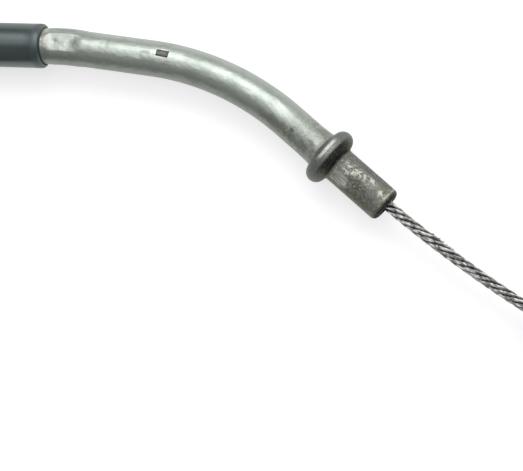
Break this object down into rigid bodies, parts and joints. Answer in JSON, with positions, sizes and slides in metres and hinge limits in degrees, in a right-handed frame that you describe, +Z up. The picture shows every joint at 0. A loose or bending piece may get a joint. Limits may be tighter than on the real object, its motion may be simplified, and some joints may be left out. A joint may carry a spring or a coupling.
{
  "type": "clutch cable",
  "caption": "Cased steel wire with a bent guide tube and stop collar at its lower end, a ferrule at its upper end and a barrel nipple on each end of the wire.",
  "frame": {"origin": "on the surface that the cable lies on, below the middle of the guide tube's box", "axes": "+X from the casing along the guide tube to its mouth, the tube bends towards -Y in a level plane, +Z up"},
  "size_m": [0.2637, 0.125, 0.019],
  "materials": {
    "tube_steel": "galvanised, satin, worn and lightly soiled",
    "spring_steel": "oiled spring steel",
    "liner_nylon": "natural nylon",
    "rope_steel": "stranded, dull with bright glints",
    "cast_zinc": "die-cast zinc, dull",
    "jacket_vinyl": "dark blue-grey vinyl, satin",
    "zinc_plate": "zinc-plated steel, satin"
  },
  "bodies": {
    "casing": {"guide_tube": "tube_steel", "casing_armour": "spring_steel", "casing_liner": "liner_nylon", "inner_wire_run": "rope_steel", "casing_lead": "jacket_vinyl", "casing_coil": "jacket_vinyl", "casing_tail": "jacket_vinyl", "upper_ferrule": "zinc_plate"},
    "lower_end": {"lower_wire": "rope_steel", "lower_nipple": "cast_zinc"},
    "upper_end": {"upper_wire": "rope_steel", "upper_nipple": "cast_zinc"}
  },
  "joints": [
    {"name": "inner_wire_slide", "type": "slide", "parent": "casing", "child": "lower_end", "axis": [0.7965, -0.6046, 0], "range_m": [-0.01, 0.014]},
    {"name": "upper_wire_slide", "type": "slide", "parent": "casing", "child": "upper_end", "axis": [-1, 0, 0], "range_m": [-0.01, 0.014]}
  ],
  "couplings": [
    {"joint": "upper_wire_slide", "follows": "inner_wire_slide", "ratio": 1}
  ]
}
